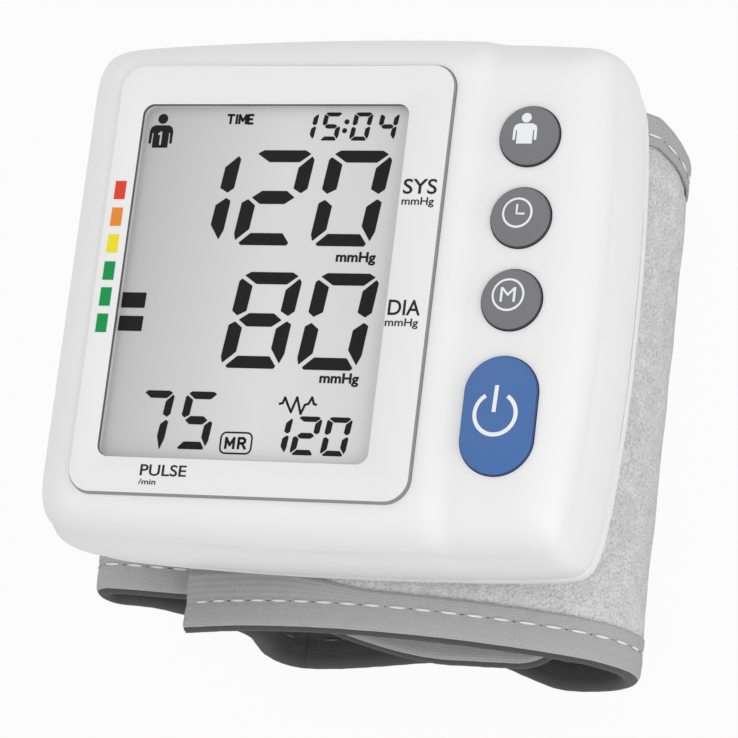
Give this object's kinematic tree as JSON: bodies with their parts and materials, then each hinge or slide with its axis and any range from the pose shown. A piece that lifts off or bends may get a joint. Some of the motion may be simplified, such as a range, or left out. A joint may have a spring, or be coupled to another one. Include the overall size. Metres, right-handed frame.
{
  "type": "wrist blood pressure monitor",
  "caption": "Wrist blood pressure monitor: white casing with a display and push buttons on a rolled-up fabric cuff that opens round the wrist.",
  "frame": {"origin": "under the middle of the bounding box, on the table that the rolled cuff lies on", "axes": "+X to the display's right, +Y to the display's top, +Z out of the display's face, away from the table"},
  "size_m": [0.0804, 0.0796, 0.0549],
  "materials": {
    "case_white": "satin gloss moulded",
    "panel_white": "smooth",
    "lcd_grey": "polariser film",
    "inner_white": "moulded",
    "inner_black": "moulded",
    "silicone": "soft matte",
    "button_grey": "satin",
    "button_blue": "satin",
    "board_green": "solder mask",
    "screw_steel": "plated",
    "contact_metal": "nickel plated",
    "battery_can": "printed sleeve",
    "cuff_fabric": "brushed loop pile",
    "binding_tape": "fine woven tape",
    "hook_tape": "hook pile",
    "bladder_rubber": "smooth"
  },
  "bodies": {
    "strap": {"cuff_tail": "cuff_fabric", "binding_tail_lower": "binding_tape", "binding_tail_upper": "binding_tape", "hook_patch": "hook_tape"},
    "monitor": {"front_cover": "case_white", "back_cover": "case_white", "display_panel": "panel_white", "lcd_cell": "lcd_grey", "lcd_holder": "inner_white", "zebra_strip_top": "silicone", "zebra_strip_bottom": "silicone", "user_switch": "inner_black", "clock_switch": "inner_black", "memory_switch": "inner_black", "power_switch": "inner_black", "main_board": "board_green", "board_screw_1": "screw_steel", "board_screw_2": "screw_steel", "pressure_sensor": "inner_black", "battery_1": "battery_can", "battery_2": "battery_can", "battery_spring_1": "contact_metal", "battery_spring_2": "contact_metal", "battery_contact_1": "contact_metal", "battery_contact_2": "contact_metal", "pump_motor": "screw_steel", "pump_head": "inner_black", "air_manifold": "inner_white", "release_valve": "screw_steel", "tube_pump": "silicone", "tube_valve": "silicone", "tube_sensor": "silicone", "tube_cuff": "silicone", "case_screw_1": "screw_steel", "case_screw_2": "screw_steel", "case_screw_3": "screw_steel", "case_screw_4": "screw_steel", "cuff_shell": "cuff_fabric", "cuff_clamp": "inner_white", "clamp_screw_1": "screw_steel", "clamp_screw_2": "screw_steel", "cuff_bladder": "bladder_rubber", "cuff_nipple": "inner_white", "cuff_lining": "cuff_fabric", "binding_main_lower": "binding_tape", "binding_main_upper": "binding_tape"},
    "user_key": {"user_button": "button_grey", "user_plunger": "inner_white"},
    "clock_key": {"clock_button": "button_grey", "clock_plunger": "inner_white"},
    "memory_key": {"memory_button": "button_grey", "memory_plunger": "inner_white"},
    "power_key": {"power_button": "button_blue", "power_plunger": "inner_white"},
    "door": {"battery_door": "case_white"},
    "rotor": {"pump_rotor": "screw_steel"}
  },
  "joints": [
    {"name": "cuff_opening", "type": "hinge", "parent": "strap", "child": "monitor", "pos_m": [0.039, 0, 0.01223], "axis": [0, 1, 0], "range_deg": [0, 95]},
    {"name": "user_press", "type": "slide", "parent": "monitor", "child": "user_key", "axis": [0, 0, -1], "range_m": [0, 0.0005], "stiffness_N_per_m": 4000, "springref_m": -0.0003},
    {"name": "clock_press", "type": "slide", "parent": "monitor", "child": "clock_key", "axis": [0, 0, -1], "range_m": [0, 0.0005], "stiffness_N_per_m": 4000, "springref_m": -0.0003},
    {"name": "memory_press", "type": "slide", "parent": "monitor", "child": "memory_key", "axis": [0, 0, -1], "range_m": [0, 0.0005], "stiffness_N_per_m": 4000, "springref_m": -0.0003},
    {"name": "power_press", "type": "slide", "parent": "monitor", "child": "power_key", "axis": [0, 0, -1], "range_m": [0, 0.0005], "stiffness_N_per_m": 4000, "springref_m": -0.0003},
    {"name": "door_pull", "type": "slide", "parent": "monitor", "child": "door", "axis": [-1, 0, 0], "range_m": [0, 0.012]},
    {"name": "rotor_spin", "type": "hinge", "parent": "monitor", "child": "rotor", "pos_m": [0.02893, 0, 0.0379], "axis": [0, 1, 0], "continuous": true}
  ]
}
